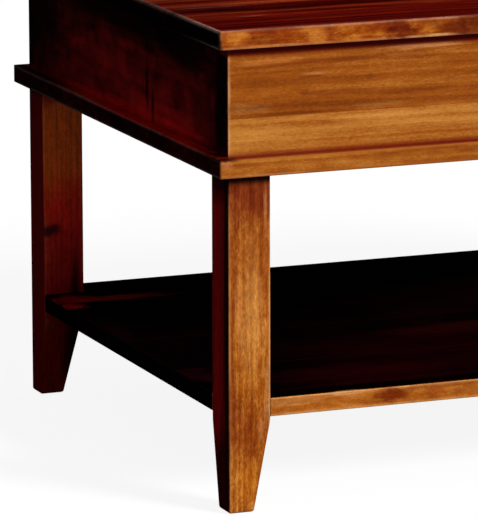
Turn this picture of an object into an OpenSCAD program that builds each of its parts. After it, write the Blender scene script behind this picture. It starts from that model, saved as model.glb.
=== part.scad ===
/* [Overall size] */
// Length of the table top, left to right
table_l = 1220; // [900:10:1400]
// Depth of the table top, front to back
table_w = 610; // [520:5:760]
// Height of the upper face of the top above the floor
table_h = 483; // [440:1:540]

/* [Top and base slabs] */
// Thickness of the boards of the top
top_t = 19; // [17:0.5:28]
// Width of the front board of the top, up to its first glue line
front_board_w = 149; // [110:1:180]
// How far the top stands past the faces of the case
top_overhang = 13; // [4:0.5:25]
// Thickness of the boards of the base slab under the case
base_t = 19; // [17:0.5:28]
// Width of the front board of the base slab
base_front_board_w = 152; // [110:1:180]
// How far the base slab stands past the faces of the case
base_overhang = 13; // [4:0.5:25]

/* [Case] */
// Height of the case between the base slab and the top
case_h = 107; // [95:1:140]
// Thickness of the case panels
panel_t = 19; // [17:0.5:22]
// Height of the upper board of the front and back panels
upper_board_h = 70; // [50:1:72]
// Thickness of the rail across the middle of the case
cross_rail_t = 19; // [16:0.5:30]
// Width of the cleats that hold the top
cleat_w = 20; // [16:0.5:28]
// Height of the cleats that hold the top
cleat_h = 20; // [14:0.5:24]
// Side of the square glue blocks in the corners of the case
block_w = 40; // [25:1:60]
// Height of the glue blocks, down from the top
block_h = 70; // [40:1:78]

/* [Legs] */
// Width of the square legs
leg_w = 44.5; // [42:0.5:60]
// Width of the legs at the floor, after their taper
foot_w = 26; // [16:0.5:36]
// Easing round the sole of each foot
foot_ease = 2; // [0.5:0.25:4]

/* [Shelf] */
// Height of the upper face of the shelf above the floor
shelf_top_z = 114; // [80:1:200]
// Thickness of the boards of the shelf
shelf_t = 19; // [17:0.5:28]
// Width of the front board of the shelf
shelf_front_board_w = 146; // [110:1:170]

/* [Eased edges] */
// Width of the small flat along every outer arris
ease = 1; // [0.25:0.25:2.5]

/* [Dowels] */
// Diameter of the dowels
dowel_d = 8; // [6:0.5:9]
// Gap round a dowel in its bore
dowel_play = 0.1; // [0.05:0.05:0.25]
// Space left past each end of a dowel
dowel_end_gap = 1; // [0.5:0.25:2]
// Depth of a dowel in the thickness of a case panel
dowel_in_panel = 11; // [8:0.5:13]
// Depth of a dowel in the end of a side panel or of the cross rail
dowel_in_end = 24; // [15:1:35]
// Depth of a leg's top dowel in the base slab
dowel_in_base = 11; // [8:0.5:13]
// Depth of a dowel in a leg
dowel_in_leg = 20; // [12:1:28]
// Depth of a dowel in the shelf
dowel_in_shelf = 22; // [12:1:40]
// Distance of a leg's top dowel from the two outer faces of the leg
leg_dowel_in = 13; // [10:0.5:16]

/* [Leg bolts] */
// Diameter of the hanger bolts
bolt_d = 8; // [6:0.5:10]
// Length of the wood thread of a hanger bolt, down in its leg
bolt_in_leg = 50; // [30:1:80]
// Length of a hanger bolt that stands past its nut
bolt_past_nut = 3; // [1:0.5:8]
// Gap round a hanger bolt in the leg and in its nut
bolt_play = 0.1; // [0.05:0.05:0.25]
// Gap round a hanger bolt where it passes the base slab and its washer
bolt_hole_play = 0.5; // [0.25:0.25:1]
// Outer diameter of the washers
washer_d = 22; // [18:0.5:24]
// Gap between a washer and the two case panels beside it
washer_gap = 1; // [0.5:0.25:2]
// Thickness of the washers
washer_t = 1.6; // [1:0.1:2.5]
// Width of the nuts across their flats
nut_flats = 13; // [12.5:0.5:17]
// Height of the nuts
nut_h = 6.5; // [4:0.5:9]

/* [Screws] */
// Diameter of the countersunk screws that hold the case on the base slab
case_screw_d = 4.5; // [3.5:0.25:6]
// Diameter of the head of a case screw
case_screw_head_d = 8.5; // [7.5:0.25:11]
// Length of a case screw
case_screw_l = 45; // [32:1:50]
// Distance of the outer case screws under the front and back panels from the ends of the case
case_screw_end = 147; // [60:1:220]
// Distance of the case screws under the side panels from the front and back of the case
side_screw_end = 182; // [60:1:220]
// Diameter of the round head screws that hold the top on its cleats
top_screw_d = 4; // [3:0.25:5]
// Diameter of the head of a top screw
top_screw_head_d = 9; // [8:0.25:12]
// Height of the head of a top screw
top_screw_head_h = 2.5; // [1.5:0.25:4]
// Depth of a top screw in the top
top_screw_bite = 12; // [8:0.5:14]
// Distance of the outer top screws from the ends of the front and back cleats
top_screw_end = 148; // [40:1:200]
// Distance of the top screws from the ends of the side cleats
side_top_screw_end = 113; // [40:1:160]
// Movement that each cleat slot leaves the top, front to back
slot_travel = 5; // [2:0.5:7]
// Gap round a screw in its hole
screw_play = 0.1; // [0.05:0.05:0.25]
// Width of the square drive recess in the screw heads
drive_w = 2.5; // [2:0.1:3]
// Depth of the drive recess
drive_depth = 1.6; // [1:0.1:2]

/* [Hidden] */
$fn = 48;

// The table stands on z = 0 with its centre over the origin and its front towards -Y
case_l = table_l - 2 * top_overhang;
case_w = table_w - 2 * top_overhang;
base_l = case_l + 2 * base_overhang;
base_w = case_w + 2 * base_overhang;
inner_l = case_l - 2 * panel_t;
inner_w = case_w - 2 * panel_t;
long_cleat_l = inner_l - 2 * block_w;
short_cleat_l = inner_w - 2 * block_w;
// Distance of a hanger bolt from the two outer faces of its leg
bolt_in = panel_t + washer_gap + washer_d / 2;

// Heights from the floor up
leg_h = table_h - top_t - case_h - base_t;
case_z = leg_h + base_t;
seam_z = case_z + case_h - upper_board_h;
top_z = case_z + case_h;
cleat_z = top_z - cleat_h;
shelf_z = shelf_top_z - shelf_t;

// Glue lines of the three slabs, from the front edge to the back edge
top_seams = seams(table_w, front_board_w);
base_seams = seams(base_w, base_front_board_w);
shelf_seams = seams(case_w, shelf_front_board_w);

// Shares of a board's height or a leg's width at which two dowels sit
dowel_shares = [0.28, 0.72];
// Screws along each long side and along each short side of the case
long_row = 4;
short_row = 2;
// How far a cut runs past the face where it comes out
past = 1;

bolt_top = washer_t + nut_h + bolt_past_nut;
case_screw_head_h = (case_screw_head_d - case_screw_d) / 2;

stain_top = "#7a2a14";
stain_front = "#a25c22";
stain_light = "#b98048";
stain_base = "#9c5424";
stain_leg = "#a8642c";
stain_side = "#6a2418";
stain_shelf = "#6e2c18";
bare_wood = "#c9a473";
dowel_wood = "#dcc08e";
zinc = "#b9bcc0";

// Glue lines of a slab: its front board has its own width and the other three share the rest
function seams(w, first) =
    let (rest = (w - first) / 3) [-w / 2, first - w / 2, w / 2 - 2 * rest, w / 2 - rest, w / 2];

// Places of n fasteners spread evenly over a length l, the outer ones at a distance from its ends
function spread(n, l, end) = [for (k = [0:n - 1]) (l / 2 - end) * (2 * k / (n - 1) - 1)];

// Rectangle with its corners eased
module eased_rect(l, w) {
    a = l / 2;
    b = w / 2;
    polygon([
        [-a + ease, -b], [a - ease, -b], [a, -b + ease], [a, b - ease],
        [a - ease, b], [-a + ease, b], [-a, b - ease], [-a, -b + ease]
    ]);
}

// Slab on z = 0 with all its outer arrises eased
module eased_slab(l, w, t) {
    intersection() {
        linear_extrude(t) eased_rect(l, w);
        translate([0, w / 2, t / 2]) rotate([90, 0, 0]) linear_extrude(w) eased_rect(l, t);
        translate([-l / 2, 0, t / 2]) rotate([90, 0, 90]) linear_extrude(l) eased_rect(w, t);
    }
}

// One board of a slab, between two of its glue lines
module slab_board(l, w, t, lines, i) {
    intersection() {
        eased_slab(l, w, t);
        translate([-l / 2, lines[i - 1], 0]) cube([l, lines[i] - lines[i - 1], t]);
    }
}

// Puts its children at the corner of the case on side sx along X and side sy along Y, each -1 or 1,
// turned so that +X and +Y point inwards
module at_corner(sx, sy) {
    turn = sx == sy ? 90 + sx * 90 : 180 - sx * 90;
    translate([sx * case_l / 2, sy * case_w / 2, 0]) rotate([0, 0, turn]) children();
}

// Puts its children at all four corners
module at_corners() {
    for (sx = [-1, 1], sy = [-1, 1]) at_corner(sx, sy) children();
}

// Dowel through a joint at z = 0: near below it and far above it
module dowel(near, far) {
    translate([0, 0, -near]) cylinder(h = near + far, d = dowel_d);
}

// Bore for such a dowel
module dowel_bore(near, far) {
    translate([0, 0, -near - dowel_end_gap])
        cylinder(h = near + far + 2 * dowel_end_gap, d = dowel_d + 2 * dowel_play);
}

// Places of the dowels between a side panel and the front and back panels
module at_case_dowels() {
    lower_h = case_h - upper_board_h;
    heights = concat([case_z + lower_h / 2], [for (s = dowel_shares) seam_z + s * upper_board_h]);
    for (sx = [-1, 1], sy = [-1, 1], z = heights)
        translate([sx * (case_l - panel_t) / 2, sy * inner_w / 2, z]) rotate([sy * 90, 0, 0]) children();
}

// Places of the dowels in the ends of the cross rail
module at_cross_rail_dowels() {
    room = case_h - cleat_h;
    for (sy = [-1, 1], s = dowel_shares)
        translate([0, sy * inner_w / 2, case_z + s * room]) rotate([sy * 90, 0, 0]) children();
}

// Places of the dowels between the shelf and the legs
module at_shelf_dowels() {
    for (sx = [-1, 1], sy = [-1, 1], s = dowel_shares)
        translate([sx * (case_l / 2 - leg_w), sy * (case_w / 2 - s * leg_w), shelf_z + shelf_t / 2])
            rotate([0, -sx * 90, 0]) children();
}

// Places of the dowels on top of the legs
module at_leg_dowels() {
    at_corners() translate([leg_dowel_in, leg_dowel_in, leg_h]) children();
}

// Places of the hanger bolts, on top of the legs
module at_leg_bolts() {
    at_corners() translate([bolt_in, bolt_in, leg_h]) children();
}

// Places of the screws that come up through the base slab into the case
module at_case_screws() {
    for (sy = [-1, 1], x = spread(long_row, case_l, case_screw_end))
        translate([x, sy * (case_w - panel_t) / 2, leg_h]) children();
    for (sx = [-1, 1], y = spread(short_row, case_w, side_screw_end))
        translate([sx * (case_l - panel_t) / 2, y, leg_h]) children();
}

// Places of the screws that come up through the cleats into the top
module at_top_screws() {
    for (sy = [-1, 1], x = spread(long_row, long_cleat_l, top_screw_end))
        translate([x, sy * (inner_w - cleat_w) / 2, cleat_z]) children();
    for (sx = [-1, 1], y = spread(short_row, short_cleat_l, side_top_screw_end))
        translate([sx * (inner_l - cleat_w) / 2, y, cleat_z]) children();
}

// Square recess for the driver, up from z = 0
module drive_recess() {
    translate([-drive_w / 2, -drive_w / 2, -past]) cube([drive_w, drive_w, drive_depth + past]);
}

// Countersunk screw, pointing up, with its head flush at z = 0; grow widens it into its hole
module countersunk(grow) {
    r = case_screw_d / 2 + grow;
    head_r = case_screw_head_d / 2 + grow;
    end = case_screw_l + grow;
    rotate_extrude() polygon([
        [0, 0], [head_r, 0], [r, case_screw_head_h], [r, end - case_screw_d], [0, end]
    ]);
}

// Round head screw, pointing up, with the seat of its head at z = 0; grow widens it into its hole
module round_head_shank(grow) {
    r = top_screw_d / 2 + grow;
    end = cleat_h + top_screw_bite + grow;
    rotate_extrude() polygon([[0, 0], [r, 0], [r, end - top_screw_d], [0, end]]);
}

// Holes for the case screws
module case_screw_holes() {
    at_case_screws() countersunk(screw_play);
}

// Holes for the top screws in the boards of the top
module top_screw_holes() {
    at_top_screws() round_head_shank(screw_play);
}

// Slot in a cleat, so that the top can swell and shrink across its grain
module cleat_slot() {
    w = top_screw_d + 2 * screw_play;
    for (side = [-1, 1])
        translate([0, side * slot_travel / 2, -past]) cylinder(h = cleat_h + 2 * past, d = w);
    translate([-w / 2, -slot_travel / 2, -past]) cube([w, slot_travel, cleat_h + 2 * past]);
}

// One of the four boards of the top, counted from the front
module top_board(i) {
    color(stain_top) difference() {
        translate([0, 0, top_z]) slab_board(table_l, table_w, top_t, top_seams, i);
        top_screw_holes();
    }
}

// One of the four boards of the base slab, counted from the front
module base_board(i) {
    hole_d = bolt_d + 2 * bolt_hole_play;
    color(stain_base) difference() {
        translate([0, 0, leg_h]) slab_board(base_l, base_w, base_t, base_seams, i);
        at_leg_bolts() translate([0, 0, -past]) cylinder(h = base_t + 2 * past, d = hole_d);
        at_leg_dowels() dowel_bore(dowel_in_leg, dowel_in_base);
        case_screw_holes();
    }
}

// Corner notch of the shelf, which fits round its leg
module leg_notches() {
    at_corners()
        translate([-past, -past, shelf_z - past]) cube([leg_w + past, leg_w + past, shelf_t + 2 * past]);
}

// One of the four boards of the shelf, counted from the front
module shelf_board(i) {
    color(stain_shelf) difference() {
        translate([0, 0, shelf_z]) slab_board(case_l, case_w, shelf_t, shelf_seams, i);
        leg_notches();
        at_shelf_dowels() dowel_bore(dowel_in_leg, dowel_in_shelf);
    }
}

// Board of the front panel (side -1) or the back panel (side 1), from z and h high
module long_board(side, z, h) {
    a = case_l / 2;
    outer = case_w / 2;
    difference() {
        translate([0, 0, z]) linear_extrude(h) scale([1, side]) polygon([
            [-a, outer - panel_t], [a, outer - panel_t], [a, outer - ease], [a - ease, outer],
            [-a + ease, outer], [-a, outer - ease]
        ]);
        at_case_dowels() dowel_bore(dowel_in_panel, dowel_in_end);
        at_cross_rail_dowels() dowel_bore(dowel_in_panel, dowel_in_end);
        case_screw_holes();
    }
}

// Upper board of the front or back panel
module upper_board(side) {
    color(stain_front) long_board(side, seam_z, upper_board_h);
}

// Lower board of the front or back panel, glued under the upper one
module lower_board(side) {
    color(stain_light) long_board(side, case_z, case_h - upper_board_h);
}

// Left (side -1) or right (side 1) panel, between the front and back panels
module side_panel(side) {
    color(stain_side) difference() {
        translate([side * (case_l - panel_t) / 2 - panel_t / 2, -inner_w / 2, case_z])
            cube([panel_t, inner_w, case_h]);
        at_case_dowels() dowel_bore(dowel_in_panel, dowel_in_end);
        case_screw_holes();
    }
}

// Side view of a leg: its outer face is straight and its inner face tapers below the shelf
module leg_profile() {
    slope = (leg_w - foot_w) / shelf_z;
    polygon([
        [foot_ease, 0], [foot_w - foot_ease, 0], [foot_w + slope * foot_ease, foot_ease],
        [leg_w, shelf_z], [leg_w, leg_h], [0, leg_h], [0, foot_ease]
    ]);
}

// Leg at one corner, tapered on its two inner faces
module leg(sx, sy) {
    color(stain_leg) difference() {
        at_corner(sx, sy) intersection() {
            translate([0, leg_w, 0]) rotate([90, 0, 0]) linear_extrude(leg_w) leg_profile();
            rotate([90, 0, 90]) linear_extrude(leg_w) leg_profile();
            translate([leg_w / 2, leg_w / 2, 0]) linear_extrude(leg_h) eased_rect(leg_w, leg_w);
        }
        at_leg_bolts() translate([0, 0, -bolt_in_leg - past])
            cylinder(h = bolt_in_leg + 2 * past, d = bolt_d + 2 * bolt_play);
        at_leg_dowels() dowel_bore(dowel_in_leg, dowel_in_base);
        at_shelf_dowels() dowel_bore(dowel_in_leg, dowel_in_shelf);
    }
}

// Rail across the middle of the case, notched at the top for the two long cleats
module cross_rail() {
    color(bare_wood) difference() {
        translate([-cross_rail_t / 2, -inner_w / 2, case_z]) cube([cross_rail_t, inner_w, case_h]);
        for (side = [-1, 1])
            translate([-cross_rail_t / 2 - past, side * inner_w / 2 - cleat_w, cleat_z])
                cube([cross_rail_t + 2 * past, 2 * cleat_w, cleat_h + past]);
        at_cross_rail_dowels() dowel_bore(dowel_in_panel, dowel_in_end);
    }
}

// Cleat along the inside of the front (side -1) or back (side 1) panel
module long_cleat(side) {
    color(bare_wood) difference() {
        translate([-long_cleat_l / 2, side * (inner_w - cleat_w) / 2 - cleat_w / 2, cleat_z])
            cube([long_cleat_l, cleat_w, cleat_h]);
        at_top_screws() cleat_slot();
    }
}

// Cleat along the inside of the left (side -1) or right (side 1) panel
module short_cleat(side) {
    color(bare_wood) difference() {
        translate([side * (inner_l - cleat_w) / 2 - cleat_w / 2, -short_cleat_l / 2, cleat_z])
            cube([cleat_w, short_cleat_l, cleat_h]);
        at_top_screws() cleat_slot();
    }
}

// Glue block in one corner of the case, under the top and well clear of the leg bolt
module glue_block(sx, sy) {
    color(bare_wood) at_corner(sx, sy)
        translate([panel_t, panel_t, top_z - block_h]) cube([block_w, block_w, block_h]);
}

// Dowels between the side panels and the front and back panels
module case_dowels() {
    color(dowel_wood) at_case_dowels() dowel(dowel_in_panel, dowel_in_end);
}

// Dowels in the ends of the cross rail
module cross_rail_dowels() {
    color(dowel_wood) at_cross_rail_dowels() dowel(dowel_in_panel, dowel_in_end);
}

// Dowels that keep the legs from turning
module leg_dowels() {
    color(dowel_wood) at_leg_dowels() dowel(dowel_in_leg, dowel_in_base);
}

// Dowels between the shelf and the legs
module shelf_dowels() {
    color(dowel_wood) at_shelf_dowels() dowel(dowel_in_leg, dowel_in_shelf);
}

// Hanger bolts: a pointed wood thread in the leg and a nut thread above the base slab
module hanger_bolts() {
    point_h = bolt_d;
    color(zinc) at_leg_bolts() {
        translate([0, 0, point_h - bolt_in_leg])
            cylinder(h = bolt_in_leg - point_h + base_t + bolt_top, d = bolt_d);
        translate([0, 0, -bolt_in_leg]) cylinder(h = point_h, d1 = 0, d2 = bolt_d);
    }
}

// Washers on the base slab
module washers() {
    color(zinc) at_leg_bolts() translate([0, 0, base_t]) difference() {
        cylinder(h = washer_t, d = washer_d);
        translate([0, 0, -past]) cylinder(h = washer_t + 2 * past, d = bolt_d + 2 * bolt_hole_play);
    }
}

// Hexagon nuts on the washers
module nuts() {
    color(zinc) at_leg_bolts() translate([0, 0, base_t + washer_t]) difference() {
        cylinder(h = nut_h, d = nut_flats / cos(30), $fn = 6);
        translate([0, 0, -past]) cylinder(h = nut_h + 2 * past, d = bolt_d + 2 * bolt_play);
    }
}

// Countersunk screws that hold the case down on the base slab
module case_screws() {
    color(zinc) at_case_screws() difference() {
        countersunk(0);
        drive_recess();
    }
}

// Round head screws that hold the top through the slots of the cleats
module top_screws() {
    color(zinc) at_top_screws() difference() {
        union() {
            round_head_shank(0);
            translate([0, 0, -top_screw_head_h]) cylinder(h = top_screw_head_h, d = top_screw_head_d);
        }
        translate([0, 0, -top_screw_head_h]) drive_recess();
    }
}

top_board(1);  // top_board_1
top_board(2);  // top_board_2
top_board(3);  // top_board_3
top_board(4);  // top_board_4
upper_board(-1);  // front_upper_board
lower_board(-1);  // front_lower_board
upper_board(1);  // back_upper_board
lower_board(1);  // back_lower_board
side_panel(-1);  // left_panel
side_panel(1);  // right_panel
base_board(1);  // base_board_1
base_board(2);  // base_board_2
base_board(3);  // base_board_3
base_board(4);  // base_board_4
leg(-1, -1);  // leg_front_left
leg(1, -1);  // leg_front_right
leg(1, 1);  // leg_back_right
leg(-1, 1);  // leg_back_left
shelf_board(1);  // shelf_board_1
shelf_board(2);  // shelf_board_2
shelf_board(3);  // shelf_board_3
shelf_board(4);  // shelf_board_4
cross_rail();
long_cleat(-1);  // front_cleat
long_cleat(1);  // back_cleat
short_cleat(-1);  // left_cleat
short_cleat(1);  // right_cleat
glue_block(-1, -1);  // block_front_left
glue_block(1, -1);  // block_front_right
glue_block(1, 1);  // block_back_right
glue_block(-1, 1);  // block_back_left
case_dowels();
cross_rail_dowels();
leg_dowels();
shelf_dowels();
hanger_bolts();
washers();
nuts();
case_screws();
top_screws();
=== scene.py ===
# %% [markdown]
# # A stained coffee table
# This lesson dresses a coffee table of stained solid wood: a flat top of four glued boards, a deep plain
# case under it, a flat slab that closes the case from below, four legs that taper below the shelf, and an
# open shelf. The shapes come from the CAD part, which is loaded as a fixed frame. What is added here is
# what a joiner's hands and a finisher's rag add: rounded arrises, glue lines, grain, stain and polish,
# and real threads and flutes on the fasteners inside.

# %% Load the CAD part
import math

import bmesh
import bpy
from mathutils import Matrix, Vector


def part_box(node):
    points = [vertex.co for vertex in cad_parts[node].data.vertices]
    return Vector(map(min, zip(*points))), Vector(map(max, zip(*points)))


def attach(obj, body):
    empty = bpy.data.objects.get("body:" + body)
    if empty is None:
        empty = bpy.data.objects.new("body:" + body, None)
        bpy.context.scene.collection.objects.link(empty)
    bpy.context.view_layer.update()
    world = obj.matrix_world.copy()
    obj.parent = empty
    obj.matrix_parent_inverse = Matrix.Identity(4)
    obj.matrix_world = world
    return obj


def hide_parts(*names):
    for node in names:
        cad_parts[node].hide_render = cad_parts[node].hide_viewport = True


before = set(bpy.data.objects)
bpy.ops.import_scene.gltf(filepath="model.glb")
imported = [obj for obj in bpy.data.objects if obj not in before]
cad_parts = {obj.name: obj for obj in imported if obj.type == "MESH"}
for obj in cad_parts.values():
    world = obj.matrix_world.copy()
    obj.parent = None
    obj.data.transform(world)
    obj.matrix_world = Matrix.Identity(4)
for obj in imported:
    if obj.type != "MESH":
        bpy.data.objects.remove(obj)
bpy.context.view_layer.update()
MM = 0.001

# %% [markdown]
# Some measures come back in several cells. The top and the slab under the case reach equally far, the case
# and the shelf 13 mm less on each side, and every board is 19 mm thick. All places are in metres, from the
# middle of the table on the floor: X to the right, Y to the back, Z up. Two points closer than a thousandth
# of a millimetre are the same point, and a point lies on a plane when it is within a hundredth of it.

# %% Measures
TOP_X, TOP_Y = 610 * MM, 305 * MM
CASE_X, CASE_Y = 597 * MM, 292 * MM
BOARD = 19 * MM
TOP_UNDERSIDE, SLAB_UNDERSIDE, SHELF_UNDERSIDE = 464 * MM, 338 * MM, 95 * MM
LEG_HALF = 22.25 * MM
SAME_POINT, SAME_PLANE = 0.001 * MM, 0.01 * MM
print("the top stands", round((TOP_X - CASE_X) / MM, 1), "mm over the case")

# %% [markdown]
# The camera stands where the photographer stood, to the left of the table's front. Its place, its turn
# and its long lens were fitted to the edges of the table in the photograph. A camera looks along its own
# -Z, so its turning matrix is put together from three directions: right, up and backwards. The picture is
# taller than wide, and Blender then gives the sensor's 36 mm to the taller side.

# %% Camera
PICTURE_HEIGHT = 522
FOCAL_LENGTH_IN_PIXELS = 5054.609
SENSOR = 36
EYE = (-2.3543, -4.77255, 1.25155)
yaw, pitch, roll = (math.radians(angle) for angle in (21.541, 11.703, -0.159))
forward = Vector((math.sin(yaw) * math.cos(pitch), math.cos(yaw) * math.cos(pitch), -math.sin(pitch)))
level_right = Vector((math.cos(yaw), -math.sin(yaw), 0))
level_up = level_right.cross(forward)
right = level_right * math.cos(roll) + level_up * math.sin(roll)
up = level_up * math.cos(roll) - level_right * math.sin(roll)

camera_data = bpy.data.cameras.new("camera")
camera_data.sensor_width = SENSOR
camera_data.lens = SENSOR * FOCAL_LENGTH_IN_PIXELS / PICTURE_HEIGHT
camera_data.clip_start, camera_data.clip_end = 0.1, 200
camera = bpy.data.objects.new("camera", camera_data)
turned_to_table = Matrix((right, up, -forward)).transposed().to_4x4()
camera.matrix_world = Matrix.Translation(EYE) @ turned_to_table
bpy.context.scene.collection.objects.link(camera)
bpy.context.scene.camera = camera
bpy.context.scene.view_settings.view_transform = "Standard"
print("lens", round(camera_data.lens, 1), "mm, looking down by", round(math.degrees(pitch), 1), "degrees")

# %% [markdown]
# A studio has a pale floor, one large soft lamp and a dim fill from all round. The lamp stands at the
# front right and about 28 degrees up, because the overhang of 13 mm throws a soft shadow of about 8 mm on
# the front in the photograph, and because the left end of the table lies in deep shade. A sun lamp with a
# wide angle is such a soft lamp without falloff, so the whole front gets the same light.

# %% Key lamp
def towards(azimuth, elevation):
    """Direction from the table to a place at that angle, to the right of the front and above the floor"""
    a, e = math.radians(azimuth), math.radians(elevation)
    return Vector((math.sin(a) * math.cos(e), -math.cos(a) * math.cos(e), math.sin(e)))


LAMP_AZIMUTH, LAMP_ELEVATION, LAMP_WIDTH, LAMP_STRENGTH = 34, 28, 16, 3.4
lamp_side = towards(LAMP_AZIMUTH, LAMP_ELEVATION)
key_data = bpy.data.lights.new("key_lamp", "SUN")
key_data.energy = LAMP_STRENGTH
key_data.angle = math.radians(LAMP_WIDTH)
key = bpy.data.objects.new("key_lamp", key_data)
key.matrix_world = lamp_side.to_track_quat("Z", "Y").to_matrix().to_4x4()
bpy.context.scene.collection.objects.link(key)
print("key lamp from", [round(v, 2) for v in lamp_side])

# %% [markdown]
# Materials are networks of nodes. A small helper keeps the cells short: each call adds one node to the
# material being made and hands back its output, and a value that isn't an output is simply written into
# the socket. Colours are given as a painter reads them off a picture, from 0 to 255, and are turned into
# the linear numbers that Blender calculates with.

# %% Helper for finishes
def stain(r, g, b):
    """Linear colour of a stain given as picture values from 0 to 255"""
    def linear(v):
        return v / 255 / 12.92 if v < 10.3 else ((v / 255 + 0.055) / 1.055) ** 2.4
    return linear(r), linear(g), linear(b), 1


class Finish:
    """A material on the bench: each method adds a node and hands back its output"""

    def __init__(self, name, tree=None):
        if tree is None:
            self.material = bpy.data.materials.new(name)
            self.material.use_nodes = True
            tree = self.material.node_tree
            self.shader = tree.nodes["Principled BSDF"]
        self.tree = tree

    def put(self, socket, value):
        """Links an output to the socket, or writes a plain value into it"""
        if isinstance(value, bpy.types.NodeSocket):
            self.tree.links.new(value, socket)
        else:
            socket.default_value = value

    def add(self, kind, inputs, output=0, **settings):
        """Adds a node of that kind with its inputs and settings, and hands back one output"""
        node = self.tree.nodes.new("ShaderNode" + kind)
        for key, value in settings.items():
            setattr(node, key, value)
        for key, value in inputs.items():
            self.put(node.inputs[key], value)
        return node.outputs[output]

    def math(self, operation, *values):
        return self.add("Math", dict(enumerate(values)), operation=operation)

    def vector(self, operation, *values, output=0):
        return self.add("VectorMath", dict(enumerate(values)), output, operation=operation)

    def split(self, vector):
        node = self.tree.nodes.new("ShaderNodeSeparateXYZ")
        self.put(node.inputs[0], vector)
        return node.outputs[0], node.outputs[1], node.outputs[2]

    def join(self, x, y, z):
        return self.add("CombineXYZ", {0: x, 1: y, 2: z})

    def place(self):
        """Where the point lies in the table's own coordinates"""
        return self.add("TexCoord", {}, "Object")

    def facing(self):
        """How far the surface faces along X, Y and Z, each from -1 to 1"""
        return self.split(self.add("TexCoord", {}, "Normal"))

    def noted(self, name, output="Fac"):
        """A value noted on the piece's mesh"""
        return self.add("Attribute", {}, output, attribute_name=name)

    def step(self, value, start, end, low=0.0, high=1.0):
        """Soft step from low to high while value goes from start to end"""
        return self.add(
            "MapRange", {0: value, 1: start, 2: end, 3: low, 4: high}, interpolation_type="SMOOTHSTEP"
        )

    def cloud(self, place, size, detail=2.0, rough=0.5):
        """Cloudy pattern from 0 to 1 with clouds of about that size in metres along X, Y and Z"""
        scaled = self.vector("MULTIPLY", place, tuple(1 / s for s in size))
        return self.add("TexNoise", {"Vector": scaled, "Scale": 1.0, "Detail": detail, "Roughness": rough})

    def mix(self, amount, a, b, blend="MIX"):
        """Colour that goes from a to b while amount goes from 0 to 1"""
        node = self.tree.nodes.new("ShaderNodeMix")
        node.data_type, node.blend_type = "RGBA", blend
        for socket, value in ((0, amount), (6, a), (7, b)):
            self.put(node.inputs[socket], value)
        return node.outputs[2]

    def ramp(self, value, deep, middle, pale):
        """Colour that goes from deep over middle to pale while value goes from 0 to 1"""
        node = self.tree.nodes.new("ShaderNodeValToRGB")
        stops = node.color_ramp.elements
        stops[0].color, stops[1].color = deep, pale
        stops.new(0.5).color = middle
        self.put(node.inputs[0], value)
        return node.outputs[0]


print("a middling orange stain in linear numbers:", [round(v, 3) for v in stain(165, 93, 34)])

# %% [markdown]
# The world lights the table dimly from all round, more from the front right, where the lamp fills the room,
# and less from behind. The direction of each ray is compared with that side by a dot product. The camera
# sees the world as white, and so do reflections and clear things, which the Light Path node tells apart.
# No light is added by that.

# %% World
world = bpy.data.worlds.new("studio_air")
bpy.context.scene.world = world
world.use_nodes = True
air = Finish("studio_air", world.node_tree)


def seen_not_lit(finish):
    """1 for rays that look at a thing, through the camera, a reflection or glass, and 0 for its light"""
    looks = [finish.add("LightPath", {}, ray) for ray in ("Is Camera Ray", "Is Glossy Ray", "Is Transmission Ray")]
    return finish.math("MAXIMUM", finish.math("MAXIMUM", looks[0], looks[1]), looks[2])


FILL, FILL_SWING, LEAST_FILL = 0.21, 0.2, 0.05
BRIGHT_SIDE = (0.45, -0.89, 0.05)
sideways = air.vector("DOT_PRODUCT", air.add("TexCoord", {}, "Generated"), BRIGHT_SIDE, output="Value")
fill = air.math("MAXIMUM", air.math("MULTIPLY_ADD", sideways, FILL_SWING, FILL), LEAST_FILL)
seen = seen_not_lit(air)
unseen = air.math("SUBTRACT", 1.0, seen)
background = world.node_tree.nodes["Background"]
background.inputs["Color"].default_value = (1, 1, 1, 1)
air.put(background.inputs["Strength"], air.math("MULTIPLY_ADD", fill, unseen, seen))
print(f"fill light: {FILL} of white on average, up to {FILL + FILL_SWING:.2f} from the front right")

# %% [markdown]
# The floor is one large sheet. What the camera sees of it is mostly its own white with a share of lit
# paint, so the lit floor is just white and the shadow under the table stays a pale grey. For the light
# that bounces off it, the floor is a grey paint that doesn't flood the shaded side of the table.

# %% Floor
def link_object(name, mesh):
    thing = bpy.data.objects.new(name, mesh)
    bpy.context.scene.collection.objects.link(thing)
    return thing


FLOOR_HALF, FLOOR_GAP = 60, 0.2 * MM  # the gap keeps the floor from flickering through the soles of the feet
bm = bmesh.new()
bmesh.ops.create_grid(bm, x_segments=1, y_segments=1, size=FLOOR_HALF)
floor_mesh = bpy.data.meshes.new("floor")
bm.to_mesh(floor_mesh)
bm.free()
floor = link_object("floor", floor_mesh)
floor.location.z = -FLOOR_GAP

OWN_WHITE, LIT_SHARE, BOUNCE = 0.9, 0.15, 0.3
paint = Finish("floor_paint")
lit = paint.add("BsdfDiffuse", {"Color": (BOUNCE, BOUNCE, BOUNCE, 1)})
glow = paint.add("Emission", {"Color": (1, 1, 1, 1), "Strength": OWN_WHITE})
shade = paint.add("BsdfDiffuse", {"Color": (LIT_SHARE, LIT_SHARE, LIT_SHARE, 1)})
looked_at = paint.add("AddShader", {0: glow, 1: shade})
surface = paint.add("MixShader", {0: seen_not_lit(paint), 1: lit, 2: looked_at})
paint.put(paint.tree.nodes["Material Output"].inputs["Surface"], surface)
floor_mesh.materials.append(paint.material)
print("floor", floor.dimensions.x, "m wide")

# %% [markdown]
# The photograph was taken in a dark room and cut out afterwards: none of the polished faces shows a pale
# reflection. A photographer gets that in a white studio with black cards round the object. Here the
# cards are one dark dome that only reflections see. It is the upper half of a ball of triangles, cut off
# just above the floor, closed, and turned inside out so that its faces look at the table.

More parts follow.
